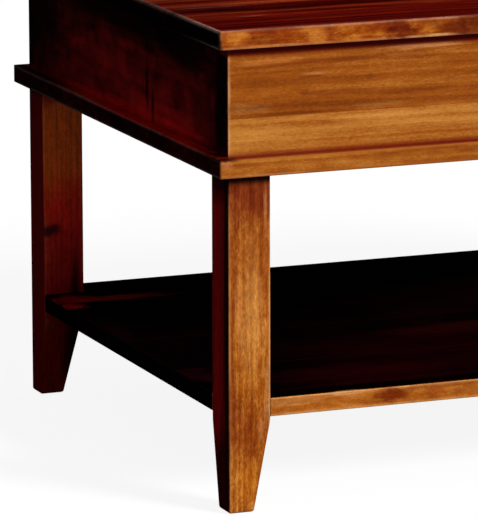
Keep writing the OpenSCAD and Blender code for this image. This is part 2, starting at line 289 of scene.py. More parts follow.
# %% Dark dome for the reflections
def cut_off_below(bm, height):
    """Cuts away what lies below that height, closes the cut and hands back the faces that close it"""
    bmesh.ops.bisect_plane(
        bm, geom=bm.verts[:] + bm.edges[:] + bm.faces[:],
        plane_co=(0, 0, height), plane_no=(0, 0, 1), clear_inner=True,
    )
    return bmesh.ops.holes_fill(bm, edges=[e for e in bm.edges if e.is_boundary])["faces"]


DOME_RADIUS = 3.0
bm = bmesh.new()
bmesh.ops.create_icosphere(bm, subdivisions=4, radius=DOME_RADIUS)
cut_off_below(bm, 1 * MM)
bmesh.ops.reverse_faces(bm, faces=bm.faces)
dome_mesh = bpy.data.meshes.new("dark_dome")
bm.to_mesh(dome_mesh)
bm.free()
dome = link_object("dark_dome", dome_mesh)
cloth = Finish("dome_cloth")
dim = cloth.add("Emission", {"Color": (1, 0.9, 0.8, 1), "Strength": 0.003})
cloth.put(cloth.tree.nodes["Material Output"].inputs["Surface"], dim)
dome_mesh.materials.append(cloth.material)
dome.visible_camera = dome.visible_diffuse = dome.visible_shadow = False
dome.visible_transmission = dome.visible_volume_scatter = False
print("dome of", len(dome_mesh.polygons), "faces,", DOME_RADIUS, "m in radius")

# %% [markdown]
# Every board and leg starts from its own CAD solid, which already has the right size, its bores and its
# 1 mm chamfers. The CAD mesh itself is left alone: a copy is merged from loose triangles into whole faces.
# A hand plane doesn't leave a flat chamfer but a small round, so both edges of each chamfer are bevelled
# once more. They are found by the angle of 45 degrees between the chamfer and its neighbours.

# %% From a CAD solid to a workable board
def solid_copy(node):
    """bmesh of a CAD node with the loose points of its triangles merged"""
    bm = bmesh.new()
    bm.from_mesh(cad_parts[node].data)
    bmesh.ops.remove_doubles(bm, verts=bm.verts, dist=SAME_POINT)
    return bm


def merged_copy(node):
    """bmesh of a CAD node with its triangles merged into whole faces"""
    bm = solid_copy(node)
    bmesh.ops.dissolve_limit(bm, angle_limit=math.radians(0.5), verts=bm.verts, edges=bm.edges)
    return bm


def bevel_edges(bm, least, most, shortest, width):
    """Bevels the edges that turn by an angle between these degrees and are longer than shortest"""
    edges = [
        e for e in bm.edges
        if len(e.link_faces) == 2 and least < math.degrees(e.calc_face_angle(0)) < most
        and e.calc_length() > shortest
    ]
    rounds = bmesh.ops.bevel(
        bm, geom=edges, offset=width, offset_type="OFFSET", segments=2, profile=0.5, affect="EDGES",
        material=-1, clamp_overlap=True,
    )["faces"]
    return edges, rounds


def round_arrises(bm, width=0.65 * MM):
    """Rounds the 1 mm chamfers, and notes each face of the round, which is made paler from rubbing and painted
    highlight, and rougher
    """
    wear_and_highlight_layer = bm.faces.layers.float.new("wear_and_highlight")
    edges, rounds = bevel_edges(bm, 35, 55, 5 * MM, width)
    for face in bm.faces:
        face.normal_update()
        flat = max(abs(v) for v in face.normal) > 0.97
        face[wear_and_highlight_layer] = 0.0 if flat else 1.0
    for face in rounds:
        face[wear_and_highlight_layer] = 1.0
        face.smooth = True
    return len(edges)


trial = merged_copy("top_board_1")
print("top_board_1:", len(trial.faces), "faces,", round_arrises(trial), "chamfer edges rounded,",
      sum(not e.is_manifold for e in trial.edges), "open edges")
trial.free()

# %% [markdown]
# Stain gathers where two boards meet, so every glue line shows as a thin darker line. The mesh is cut
# beside the line with a plane, and each point on the line gets a glaze of 1, each point of the cut 0. The
# material fades the stain between them, so the line has a soft edge and a real width. The same lines also
# paint shade under the top and under the slab.

# %% Glue lines
AXES = {"x": 0, "y": 1, "z": 2}
GLUE_LINE = 1.6 * MM
CLEAR_OF_RIM = 0.2 * MM  # a cut nearer to the board's rim than this would leave slivers


def glaze_and_shade_line(bm, axis, at, width, strength=1.0):
    """Notes a dark line on the plane axis = at, fading out over width on both sides; it serves glue lines and
    painted shade
    """
    layer = bm.verts.layers.float.get("glaze_and_shade") or bm.verts.layers.float.new("glaze_and_shade")
    k = AXES[axis]
    low, high = min(v.co[k] for v in bm.verts), max(v.co[k] for v in bm.verts)
    normal = Vector((0, 0, 0))
    normal[k] = 1
    for cut in (at - width, at + width):
        if low + CLEAR_OF_RIM < cut < high - CLEAR_OF_RIM:
            bmesh.ops.bisect_plane(
                bm, geom=bm.verts[:] + bm.edges[:] + bm.faces[:], plane_co=normal * cut, plane_no=normal
            )
    on_line = [v for v in bm.verts if abs(v.co[k] - at) < SAME_PLANE]
    for v in on_line:
        v[layer] = strength
    return len(on_line)


trial = merged_copy("top_board_1")
print("points glazed on top_board_1:", glaze_and_shade_line(trial, "y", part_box("top_board_1")[1].y, GLUE_LINE))
trial.free()

# %% [markdown]
# The inner faces of the case, glued edges and bores never see stain. Each piece says by a small function
# of a face's middle and normal which of its faces are hidden, and the answer is noted on the face. A piece
# is finished when its mesh also knows the heart of its log and its tone, and stands for its CAD node.

# %% Bare faces and the finished piece
def note_bare(bm, hidden):
    """Notes which faces no brush reaches; hidden(face middle, face normal) says so"""
    layer = bm.faces.layers.float.new("bare")
    for face in bm.faces:
        face[layer] = 1.0 if hidden(face.calc_center_median(), face.normal) else 0.0


def put_on_table(bm, name, nodes, finish, heart=(0, 0, 0), tone=0.0):
    """Makes the object, with the heart of its log and its tone noted on it, in place of its CAD nodes"""
    hearts = bm.verts.layers.float_vector.new("heart")
    tones = bm.verts.layers.float.new("tone")
    for v in bm.verts:
        v[hearts], v[tones] = heart, tone
    open_edges = sum(not e.is_manifold for e in bm.edges)
    mesh = bpy.data.meshes.new(name)
    bm.to_mesh(mesh)
    bm.free()
    mesh.materials.append(finish)
    thing = link_object(name, mesh)
    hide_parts(*nodes)
    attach(thing, "root")
    print(f"{name}: {len(mesh.polygons)} faces, {open_edges} open edges, tone {tone:+.2f}")
    return thing


# %% [markdown]
# Wood is a solid pattern, so it is made as one: a tree is a stack of cones, and near enough a bundle of
# tubes, one per year. Each board remembers where the heart of its log lay, and the distance from that
# heart gives the years. The late wood of each year is dark and ends sharply. A slow sway of the trunk makes
# the lines wander along the board, and on the end of the board the same pattern shows as arcs by itself.

# %% Growth rings
def along_grain(finish, place, grain):
    """Place with X turned along the grain, measured from the heart of the board's log"""
    x, y, z = finish.split(place)
    turned = {"X": (x, y, z), "Y": (y, z, x), "Z": (z, x, y)}[grain]
    return finish.vector("SUBTRACT", finish.join(*turned), finish.noted("heart", "Vector"))


def growth_rings(finish, along, gap, sway=0.03):
    """Dark late wood of each year, from 0 to 1, with the years gap apart"""
    _, b, c = finish.split(along)
    wander = finish.math("MULTIPLY_ADD", finish.cloud(along, (0.8, 0.12, 0.12), 1.0), sway, -sway / 2)
    radius = finish.vector("LENGTH", finish.join(0.0, b, c), output="Value")
    ripple = finish.math("MULTIPLY_ADD", finish.cloud(along, (0.25, 0.02, 0.02), 1.0), 0.8, -0.4)
    years = finish.math("MULTIPLY_ADD", finish.math("ADD", radius, wander), 1 / gap, ripple)
    part = finish.math("FRACT", years)
    late = finish.math("MULTIPLY", finish.step(part, 0.15, 0.9), finish.step(part, 0.91, 1.0, 1.0, 0.0))
    year_kind = finish.add("TexWhiteNoise", {"W": finish.math("FLOOR", years)}, "Value", noise_dimensions="1D")
    return finish.math("MULTIPLY", late, finish.math("MULTIPLY_ADD", year_kind, 0.8, 0.2))


YEARS_GAP = 7 * MM  # on the boards of the top and of the end panels
print("a board shows", round(BOARD / YEARS_GAP, 1), "years of", YEARS_GAP / MM, "mm on its edge")

# %% [markdown]
# The stain is the same on the whole table but doesn't look the same: the fronts are gold, the flat faces a
# deep red-brown, and end grain drank so much that it is dark. The faces that look left lie in shade, and that
# shade is painted into their colours, as a deep crimson and on end grain as nearly black. So a stained finish
# has a set of three colours, deep, middle and pale, for each way that a face looks, and one figure, made of
# years, soft bands, short grain and blotches, that picks between them. Only what looks forwards, left and up
# is known; what looks right or back stands in the lamp's light, so it gets a plain warm brown of the same wood.
#
# The marks of the real table, such as a knot, a dark streak or a patch of thick stain, are laid over it one
# by one, and so are marks of painted shade and painted highlight. A mark is a ragged blot in space: a place,
# a half size, a colour and a strength, in millimetres.

# %% Marks, and arrises paled by rubbing and painted highlight
def mark(finish, place, spot, size, climb=0.0):
    """1 in a mark at spot with that half size, both in mm, fading at a ragged rim; it may climb along X"""
    away = finish.vector("SUBTRACT", place, tuple(v * MM for v in spot))
    if climb:
        x, y, z = finish.split(away)
        away = finish.join(x, y, finish.math("MULTIPLY_ADD", x, -climb, z))
    away = finish.vector("DIVIDE", away, tuple(v * MM for v in size))
    far = finish.vector("LENGTH", away, output="Value")
    ragged = finish.cloud(place, tuple(0.6 * v * MM for v in size), 3.0)
    return finish.step(finish.math("MULTIPLY_ADD", ragged, 1.4, far), 1.0, 1.9, 1.0, 0.0)


def arris_distance(finish, place, middle, half):
    """Distance to the nearest outer arris: the middle one of the distances to the outer faces on three sides"""
    away = finish.vector("ABSOLUTE", finish.vector("SUBTRACT", place, middle))
    x, y, z = finish.split(finish.vector("SUBTRACT", half, away))
    nearest = finish.math("MINIMUM", finish.math("MAXIMUM", x, y), z)
    return finish.math("MAXIMUM", nearest, finish.math("MINIMUM", x, y))


print("a mark of half size 10 mm is full to about 3 mm from its middle and gone at about 12 mm")

# %% [markdown]
# One function makes the stained finish of every part of the table, so the parts stay one wood. It reads
# what the mesh has noted: the heart and tone of the board, its points of glaze and of painted shade, and its
# worn and bare faces. Arrises are paler, partly from rubbing and partly as painted highlight, and the
# roughness and the bump follow the same grain as the colour.

# %% The stained finish
WARM_BROWN = ((66, 12, 4), (128, 46, 14), (184, 98, 42))
PORE_DEPTH = 0.2 * MM
# paler colours of the arrises: partly rubbing, partly painted highlight
RUBS_AND_HIGHLIGHTS = ((196, 128, 72), (84, 40, 36), (118, 76, 66))


def stained_wood(name, grain, fronts, ends, flats, outline, gap, years_share, bands, mottle,
                 contrast=(1, 1, 1), fine=0.5, gloss=0.3, shine=0.15, legs=False, marks=(), glaze_and_shade=(40, 5, 1),
                 rubs_and_highlights=RUBS_AND_HIGHLIGHTS, rights=WARM_BROWN):
    """Stained wood: fronts, ends, flats and rights hold the deep, middle and pale colour of what looks
    forwards, left, up or down, and right, and the colours of what looks left hold painted shade;
    rubs_and_highlights the paler colours of the arrises of the first three, paler from rubbing and from
    painted highlight; outline the middle and half size of the body whose arrises are paler"""
    f = Finish(name)
    f.shader.inputs["Specular IOR Level"].default_value = shine
    place = f.place()
    along = along_grain(f, place, grain)
    years = growth_rings(f, along, gap)
    fibre = f.cloud(along, (0.03, 0.0014, 0.0014), 2.0, 0.6)
    short = f.cloud(along, (0.0036, 0.0015, 0.0015), 2.0, 0.65)
    blotch = f.cloud(along, (0.25, 0.05, 0.05), 2.0)

    def weigh(figure, pattern, share):
        return f.math("MULTIPLY_ADD", pattern, share, f.math("SUBTRACT", figure, share / 2))

    figure = f.math("MULTIPLY_ADD", years, -years_share, f.math("ADD", f.noted("tone"), 0.5 + years_share * 0.3))
    for size, share in bands:
        figure = weigh(figure, f.cloud(along, size, 2.0, 0.5), share)
    figure = weigh(weigh(weigh(figure, fibre, 0.25), short, fine), blotch, 0.5)
    size, share = mottle
    mottled = weigh(figure, f.cloud(along, size, 3.0, 0.6), share)
    x, y, z = f.facing()
    is_left, is_right, is_back = f.step(x, -0.5, -0.85), f.step(x, 0.5, 0.85), f.step(y, 0.5, 0.85)
    is_flat = f.step(f.math("ABSOLUTE", z), 0.5, 0.85)

    def by_facing(front, left, flat, right, back):
        upright = f.mix(is_back, f.mix(is_right, f.mix(is_left, front, left), right), back)
        return f.mix(is_flat, upright, flat)

    def coloured(pattern, k, three):
        return f.ramp(f.math("MULTIPLY_ADD", pattern, k, 0.5 - 0.5 * k), *[stain(*c) for c in three])

    # the colour sets of what looks left hold painted shade
    colour = by_facing(
        coloured(mottled, contrast[0], fronts), coloured(mottled, contrast[1], ends),
        coloured(figure, contrast[2], flats), coloured(mottled, 1, rights), coloured(mottled, 1, WARM_BROWN),
    )
    pore = f.step(f.cloud(along, (0.006, 0.001, 0.001), 2.0, 0.6), 0.6, 0.72)
    colour = f.mix(f.math("MULTIPLY", pore, 0.3), colour, stain(44, 10, 3))
    folded = f.vector("ABSOLUTE", place) if legs else place
    near = f.step(arris_distance(f, folded, *outline), 0.5 * MM, 4.2 * MM, 1.0, 0.0)
    # arrises paled, partly by rubbing and partly by painted highlight
    rub_and_highlight = f.step(f.cloud(place, (0.02, 0.02, 0.02), 3.0, 0.7), 0.32, 0.62, 0.35, 0.85)
    rub_and_highlight = f.math("MULTIPLY_ADD", f.noted("wear_and_highlight"), 0.25, f.math("MULTIPLY", near, rub_and_highlight))
    front_rub_and_highlight, left_rub_and_highlight, flat_rub_and_highlight = [stain(*c) for c in rubs_and_highlights]
    colour = f.mix(rub_and_highlight, colour, by_facing(front_rub_and_highlight, left_rub_and_highlight, flat_rub_and_highlight, front_rub_and_highlight, front_rub_and_highlight))
    grey = f.math("MAXIMUM", f.math("MULTIPLY_ADD", mottled, 1.4, 0.3), 0.3)
    for spot, size, shade, strength, *climb in marks:
        shaded = f.mix(1.0, stain(*shade), grey, "MULTIPLY")
        colour = f.mix(f.math("MULTIPLY", mark(f, place, spot, size, *climb), strength), colour, shaded)
    # glue lines, and painted shade under the top and under the slab, from the points noted on the mesh
    colour = f.mix(f.step(f.noted("glaze_and_shade"), 0.0, 0.9, 0.0, 0.95), colour, stain(*glaze_and_shade))
    raw = f.ramp(figure, stain(150, 112, 68), stain(196, 158, 108), stain(216, 184, 138))
    colour = f.mix(f.noted("bare"), colour, raw)
    f.put(f.shader.inputs["Base Color"], colour)
    rough = f.math("MULTIPLY_ADD", blotch, 0.12, gloss - 0.06)
    rough = f.math("MULTIPLY_ADD", f.noted("wear_and_highlight"), 0.2, f.math("MULTIPLY_ADD", f.noted("bare"), 0.35, rough))
    f.put(f.shader.inputs["Roughness"], rough)
    height = f.math("MULTIPLY_ADD", fibre, 0.6, f.math("MULTIPLY_ADD", years, -0.5, f.math("MULTIPLY", pore, -0.8)))
    bump = f.add("Bump", {"Height": height, "Strength": 0.3, "Distance": PORE_DEPTH})
    f.put(f.shader.inputs["Normal"], bump)
    print(f"{name}: grain along {grain}, {len(f.tree.nodes)} nodes")
    return f.material


# %% [markdown]
# End grain takes up the stain like a bundle of straws, so it is dark. On the left, in shade, it is painted
# nearly black, which is painted shade over its own dark; on the right, where the lamp's light falls, it is a dark
# brown.

# %% Colours that several finishes share
# the near-black of the left end grain is partly painted shade
SHADED_END_GRAIN = ((5, 1, 1), (14, 3, 3), (34, 7, 6))
LIT_END_GRAIN = ((22, 4, 2), (62, 18, 8), (110, 46, 20))
PANEL_FLATS = ((60, 16, 8), (110, 40, 14), (150, 70, 30))
NO_ARRIS = 1.0  # a half size so large that no arris lies that way
print("end grain at its middle:", SHADED_END_GRAIN[1], "and", LIT_END_GRAIN[1])

# %% [markdown]
# The top is the glossiest part, a maroon with long streaks from above, and its front edge is gold with
# reddish blotches. The bands of its figure are half a metre long and 14 mm wide. Its marks are the clouds
# and streaks at the left end of the flat face, the blotches and rubbed places of the front edge, painted
# shade on the arrises at the left end, and painted highlights along a glue line and the front edge's lower arris.

# %% Finish of the top
top_finish = stained_wood(
    "top_stain", "X",
    fronts=((88, 12, 1), (151, 66, 8), (210, 136, 44)),
    ends=SHADED_END_GRAIN, rights=LIT_END_GRAIN,
    flats=((56, 0, 0), (124, 17, 3), (204, 88, 40)),
    outline=((0, 0, TOP_UNDERSIDE + BOARD / 2), (TOP_X, TOP_Y, BOARD / 2)),
    gap=YEARS_GAP, years_share=0.12,
    bands=(((0.5, 0.014, 0.014), 1.1), ((0.12, 0.005, 0.005), 0.4)), mottle=((0.018, 0.009, 0.009), 1.1),
    contrast=(1.15, 1, 1.35), fine=0.4, gloss=0.34, shine=0.08,
    # arrises paler from rubbing and painted highlight; the grey of the left ones is a painted reflection
    rubs_and_highlights=((190, 114, 64), (158, 136, 130), (172, 122, 106)),
    marks=(
        # clouds and streaks at the left end of the flat face; the pale line at Y -160 is a painted highlight
        ((-600, -160, 483), (80, 70, 6), (78, 12, 9), 0.55), ((-560, -160, 483), (50, 3, 6), (140, 84, 76), 0.6),
        ((-566, -180, 483), (52, 7, 6), (24, 2, 0), 0.8), ((-580, -222, 483), (40, 14, 6), (106, 26, 10), 0.5),
        ((-545, -226, 483), (16, 3, 6), (150, 90, 80), 0.5), ((-548, -236, 483), (14, 3, 6), (20, 0, 0), 0.7),
        ((-505, -195, 483), (60, 9, 6), (28, 0, 0), 0.65), ((-440, -215, 483), (110, 9, 6), (64, 0, 0), 0.6),
        ((-350, -205, 483), (90, 12, 6), (160, 54, 20), 0.45),
        # painted shade on the arrises of the left end grain and on the standing arris at the front left; the right
        # end's lower arris is darkened too
        ((-611, 0, 465), (5, 600, 11), (4, 0, 0), 0.98), ((610, 0, 464), (7, 440, 6), (30, 6, 3), 0.9),
        ((-610, -305, 472), (2.5, 4, 14), (48, 10, 4), 0.85),
        # gold patches, red blotches and rubbed places of the front edge, and painted highlights along its lower
        # arris
        ((-592, -305, 474), (16, 3, 10), (200, 122, 44), 0.3), ((-552, -305, 481), (38, 3, 4), (132, 38, 10), 0.6),
        ((-566, -305, 473), (12, 3, 3), (190, 110, 34), 0.4), ((-485, -305, 471), (9, 3, 4), (112, 32, 2), 0.6),
        ((-508, -305, 472), (15, 3, 9), (206, 128, 50), 0.45), ((-438, -305, 480), (12, 3, 3), (124, 36, 8), 0.6),
        ((-420, -305, 474), (20, 3, 12), (88, 10, 3), 0.85), ((-386, -305, 476), (10, 3, 6), (206, 130, 42), 0.25),
        # a painted highlight along the lower arris
        ((-385, -305, 465.5), (30, 3, 2.4), (230, 170, 104), 0.7),
        ((-336, -305, 473), (42, 3, 16), (80, 10, 3), 0.85),
        # a painted highlight along the lower arris
        ((-560, -305, 466), (50, 3, 1.6), (214, 150, 80), 0.25),
        # one more dark cloud on the flat face
        ((-600, -93, 483), (70, 44, 6), (60, 10, 6), 0.5),
    ),
)

# %% [markdown]
# The front of the case was rubbed back to a gold brown with long soft streaks, and its lower board is paler
# than the upper one. Under the top lies a deep red line of painted shade, noted on the mesh as glaze, while
# the thin slanting streaks below it are marks that climb along X. Two pale streaks just under that shade are
# painted light.

# %% Finish of the front and back panels
front_finish = stained_wood(
    "front_stain", "X",
    fronts=((92, 30, 2), (155, 79, 14), (206, 140, 60)),
    ends=SHADED_END_GRAIN, rights=LIT_END_GRAIN,
    flats=PANEL_FLATS,
    outline=((0, 0, 0.4), (CASE_X, CASE_Y, NO_ARRIS)),
    gap=8 * MM, years_share=0.12,
    bands=(((0.5, 0.012, 0.012), 0.7), ((0.12, 0.0045, 0.0045), 0.35)), mottle=((0.05, 0.012, 0.012), 0.3),
    # this deep red is the colour of the glue lines and of the painted shade under the top
    glaze_and_shade=(104, 3, 0), rubs_and_highlights=((214, 148, 96), (84, 40, 36), (118, 76, 66)),
    marks=(
        # a black spot of painted shade under the top
        ((-490, -292, 463.5), (30, 3, 4), (6, 0, 0), 0.8),
        # slanting streaks of the upper board; the pale first one is painted light just under the top's shadow
        ((-545, -292, 449), (60, 3, 3), (206, 122, 52), 0.5, 0.04),
        ((-505, -292, 445.5), (100, 3, 2.2), (122, 46, 6), 0.6, 0.04),
        ((-462, -292, 445), (34, 3, 2.2), (100, 32, 3), 0.5, 0.04),
        # short streaks and specks along the grain
        ((-560, -292, 432), (40, 3, 3), (136, 58, 10), 0.4), ((-509, -292, 431), (14, 3, 1.8), (118, 50, 10), 0.6),
        ((-506, -292, 434), (18, 3, 2), (196, 126, 64), 0.5), ((-517, -292, 416), (5, 3, 4), (112, 42, 14), 0.5),
        ((-448, -292, 427), (4, 3, 3), (112, 48, 12), 0.5), ((-476, -292, 414), (48, 3, 3.5), (124, 52, 10), 0.55),
        ((-400, -292, 411), (50, 3, 4), (130, 56, 10), 0.5), ((-528, -292, 396), (62, 3, 2), (96, 34, 5), 0.6),
        ((-490, -292, 383), (16, 3, 2), (146, 80, 30), 0.5), ((-430, -292, 388), (60, 3, 4), (188, 124, 60), 0.3),
        ((-440, -292, 399), (32, 3, 4), (192, 120, 54), 0.4), ((-578, -292, 403), (34, 3, 6), (196, 122, 56), 0.5),
        # a pale streak just under the top's shadow: painted light
        ((-388, -292, 454.5), (44, 3, 3.5), (222, 150, 90), 0.7),
        ((-401, -292, 445), (44, 3, 6), (112, 38, 2), 0.4), ((-362, -292, 420), (10, 3, 3.5), (112, 44, 4), 0.5),
    ),
)

# %% [markdown]
# The left end panel stands in the shade, and its colours are painted shade: crimson, brightest along its
# foot, and nearly black under the top and at both corners. Its mottle is large and soft, and two thin dark
# streaks cross it.

# %% Finish of the end panels
side_finish = stained_wood(
    "side_stain", "Y",
    fronts=((92, 34, 3), (158, 84, 20), (208, 142, 66)),
    # the crimson of what looks left is painted shade
    ends=((40, 0, 1), (98, 1, 5), (148, 14, 12)),
    flats=PANEL_FLATS,
    outline=((0, 0, 0.4), (NO_ARRIS, NO_ARRIS, NO_ARRIS)),
    gap=YEARS_GAP, years_share=0.1,
    bands=(((0.3, 0.02, 0.02), 0.45), ((0.1, 0.008, 0.008), 0.2)), mottle=((0.03, 0.02, 0.02), 1.2),
    # the glaze colour here is mostly the painted shade under the top
    contrast=(1, 1.25, 1), glaze_and_shade=(14, 0, 0),
    marks=(
        # painted shade: a crimson, brighter along the foot, and the darker cloud in it
        ((-597, -110, 368), (6, 120, 18), (168, 5, 9), 0.65), ((-597, 40, 396), (6, 70, 26), (132, 4, 8), 0.5),
        ((-597, 196, 416), (6, 50, 30), (26, 0, 1), 0.5), ((-597, -30, 359), (6, 190, 9), (206, 8, 12), 0.75),
        ((-597, -140, 420), (6, 50, 20), (112, 4, 8), 0.4), ((-597, 150, 370), (6, 90, 12), (120, 3, 8), 0.35),
        # two thin dark streaks
        ((-597, -70, 396), (6, 6, 34), (16, 0, 1), 0.9), ((-597, -86, 374), (6, 5, 22), (24, 0, 1), 0.9),
        # painted shade, dark under the top and at both corners
        ((-597, 0, 456), (6, 420, 28), (14, 0, 1), 0.9), ((-597, -160, 446), (6, 110, 26), (12, 0, 1), 0.85),
        ((-597, -276, 400), (6, 34, 110), (14, 0, 1), 0.95), ((-597, 262, 430), (6, 84, 80), (14, 0, 1), 0.95),
    ),
)

# %% [markdown]
# The slab is gold in front and black at its left end, where its end grain holds painted shade. Its upper
# face shows only as a ledge round the case, which keeps a red line of thick stain in front, a brown. At the
# left end the ledge lies in shade and is painted crimson, with painted shade at both corners.

# %% Finish of the slab under the case
base_finish = stained_wood(
    "base_stain", "X",
    fronts=((98, 28, 3), (156, 82, 16), (206, 138, 56)),
    # the black of the left end grain is partly painted shade
    ends=((8, 1, 1), (38, 3, 4), (84, 8, 8)), rights=LIT_END_GRAIN,
    flats=((78, 2, 0), (126, 24, 0), (162, 54, 8)),
    outline=((0, 0, SLAB_UNDERSIDE + BOARD / 2), (TOP_X, TOP_Y, BOARD / 2)),
    gap=8 * MM, years_share=0.15,
    bands=(((0.4, 0.009, 0.009), 0.6), ((0.12, 0.004, 0.004), 0.35)), mottle=((0.026, 0.009, 0.009), 0.7),
    gloss=0.5, shine=0.07, rubs_and_highlights=((166, 90, 32), (90, 70, 66), (156, 72, 12)),
    marks=(
        # the ledge round the case: at the left end, in shade, painted crimson with painted shade at both corners;
        # in front, a red line of thick stain
        ((-604, -70, 357), (9, 290, 3), (192, 6, 6), 0.9), ((-604, 300, 357), (9, 210, 3), (34, 1, 2), 0.9),
        ((-604, -296, 357), (16, 50, 3), (44, 1, 1), 0.95), ((0, -293, 357), (860, 6, 2), (114, 26, 0), 0.85),
        # painted shade on the front left corner, a pale patch beside it, and a painted highlight on the lower arris
        ((-609.5, -305, 347), (2.5, 3, 20), (110, 46, 18), 0.35),
        ((-603, -305, 352), (7, 3, 4), (206, 132, 84), 0.4),
        ((-560, -305, 339.5), (50, 3, 1.6), (214, 150, 96), 0.3),
    ),
)

# %% [markdown]
# A leg is one straight piece with the grain along Z and many short fibres. The front left leg is gold in
# front. Its side lies in shade and is painted crimson, and painted shade makes it dark under the slab and
# along its left arris. The back left leg lies in the table's shade and is painted redder and darker, and it
# has a small knot. The same finish dresses all four: the distance to the arrises is measured in one quarter
# of the table, into which the Absolute of the place folds the others.

# %% Finish of the legs
leg_finish = stained_wood(
    "leg_stain", "Z",
    fronts=((92, 18, 1), (156, 78, 10), (212, 142, 60)),
    # the crimson of what looks left is painted shade
    ends=((60, 0, 3), (124, 5, 9), (156, 16, 18)),
    flats=((40, 12, 8), (90, 36, 16), (130, 66, 34)),
    outline=((CASE_X - LEG_HALF, CASE_Y - LEG_HALF, 0.17), (LEG_HALF, LEG_HALF, NO_ARRIS)),
    gap=5 * MM, years_share=0.15,
    bands=(((0.3, 0.0045, 0.0045), 0.35), ((0.05, 0.0024, 0.0024), 0.4)), mottle=((0.010, 0.0045, 0.0045), 0.75),
    # the dark glaze colour here is the painted shadow under the slab
    contrast=(1.1, 1.0, 1), fine=0.7, legs=True, glaze_and_shade=(16, 1, 0),
    rubs_and_highlights=((204, 136, 74), (84, 40, 36), (118, 76, 66)),
    marks=(
        # front of the front left leg
        ((-575, -292, 336), (60, 3, 58), (108, 30, 8), 0.85),
        ((-571, -292, 200), (14, 3, 75), (206, 138, 66), 0.55),
        ((-575, -292, 262), (44, 3, 34), (138, 64, 18), 0.4), ((-592, -292, 225), (4, 3, 60), (126, 46, 8), 0.5),
        ((-586, -292, 205), (4, 3, 44), (214, 140, 70), 0.5), ((-560, -292, 240), (3, 3, 50), (140, 56, 14), 0.6),
        ((-558, -292, 305), (2, 3, 30), (206, 128, 72), 0.4), ((-580, -292, 80), (24, 3, 30), (124, 46, 6), 0.6),
        ((-593, -292, 112), (6, 3, 62), (114, 42, 8), 0.7), ((-556, -292, 114), (4, 3, 36), (212, 144, 84), 0.5),
        ((-563, -292, 82), (4, 3, 14), (204, 132, 70), 0.5), ((-575, -292, 150), (10, 3, 30), (196, 120, 44), 0.4),
        ((-573, -292, 6), (6, 3, 6), (204, 132, 56), 0.5), ((-576, -292, 30), (14, 3, 18), (190, 108, 20), 0.4),
        ((-587, -292, 109), (7, 3, 14), (104, 34, 4), 0.6),
        # its left side, in shade: its crimson and dark patches are painted shade
        ((-597, -286, 200), (2, 7, 300), (22, 0, 1), 0.9), ((-597, -262, 230), (2, 12, 220), (170, 3, 9), 0.5),
        ((-597, -280, 30), (2, 60, 70), (44, 1, 5), 0.85), ((-597, -270, 330), (2, 60, 22), (24, 0, 1), 0.85),
        # back left leg, in the table's shade: painted shade, amber high up, red lower down and dark at the foot;
        # and one dark patch in front
        ((-597, 270, 200), (2, 60, 400), (88, 2, 6), 0.6), ((-588, -292, 303), (9, 3, 20), (114, 38, 8), 0.6),
        ((-575, 247.5, 100), (60, 3, 240), (176, 1, 4), 0.95), ((-575, 247.5, 222), (50, 3, 44), (206, 30, 4), 0.8),
        ((-575, 247.5, 310), (60, 3, 90), (206, 84, 8), 0.9), ((-592, 247.5, 330), (12, 3, 16), (120, 4, 6), 0.7),
        ((-591, 247.5, 184), (13, 3, 9), (36, 0, 1), 0.9), ((-575, 258, 30), (70, 34, 170), (104, 0, 5), 0.97),
        ((-560, 260, 60), (16, 34, 120), (12, 0, 0), 0.9),
    ),
)

# %% [markdown]
# The shelf lies in the dark between the legs, and that shade is painted into its flat face: almost black
# with a few maroon clouds. Only its front edge is lit, a gold with blotches. A low specular level keeps grey
# glare off it.

# %% Finish of the shelf
shelf_finish = stained_wood(
    "shelf_stain", "X",
    fronts=((104, 28, 6), (166, 90, 24), (214, 146, 66)),
    ends=SHADED_END_GRAIN, rights=LIT_END_GRAIN,
    # the near-black of the flat face is painted shade
    flats=((1, 0, 0), (3, 0, 0), (22, 0, 2)),
    outline=((0, 0, SHELF_UNDERSIDE + BOARD / 2), (CASE_X, CASE_Y, BOARD / 2)),
    gap=9 * MM, years_share=0.15,
    bands=(((0.3, 0.05, 0.05), 0.6), ((0.1, 0.012, 0.012), 0.25)), mottle=((0.022, 0.009, 0.009), 0.9),
    gloss=0.5, shine=0.02, rubs_and_highlights=((214, 146, 82), (8, 2, 2), (12, 2, 2)),
    marks=(
        # blotches and rubbed places of the front edge
        ((-424, -292, 106), (20, 6, 9), (102, 24, 3), 0.85), ((-375, -292, 105), (16, 6, 6), (138, 54, 12), 0.5),
        ((-530, -292, 108), (40, 6, 5), (216, 150, 80), 0.4), ((-472, -292, 112), (20, 4, 4), (220, 156, 96), 0.6),
        ((-364, -292, 111), (50, 4, 5), (118, 50, 12), 0.45), ((-343, -292, 103), (24, 4, 6), (112, 40, 6), 0.4),
        ((-514, -292, 107), (18, 4, 3), (140, 66, 8), 0.5),
        # maroon clouds on the painted shade of the flat face, which turns to the shelf's own maroon towards the
        # right
        ((-300, -150, 114), (190, 130, 3), (32, 0, 2), 0.7), ((-440, -220, 114), (100, 46, 3), (38, 1, 3), 0.6),
        ((-250, -66, 114), (110, 26, 3), (46, 5, 2), 0.6), ((-400, -262, 114), (130, 10, 3), (34, 1, 5), 0.6),
        ((-535, 205, 114), (80, 14, 3), (150, 6, 8), 0.75), ((-578, 214, 114), (26, 22, 3), (160, 8, 14), 0.6),
        ((-592, 60, 114), (26, 60, 3), (34, 1, 7), 0.5), ((-588, 182, 114), (16, 16, 3), (190, 14, 16), 0.8),
        ((-584, -190, 114), (22, 50, 3), (40, 2, 8), 0.5), ((340, 0, 114), (520, 500, 3), (62, 12, 7), 0.95),
    ),
)

# %% [markdown]
# The top, the slab under the case and the shelf are each glued up from four boards. The boards were cut
# from different places of the log, so each has its own heart and tone. Their glued edges and bores are
# bare, and everything else is stained.

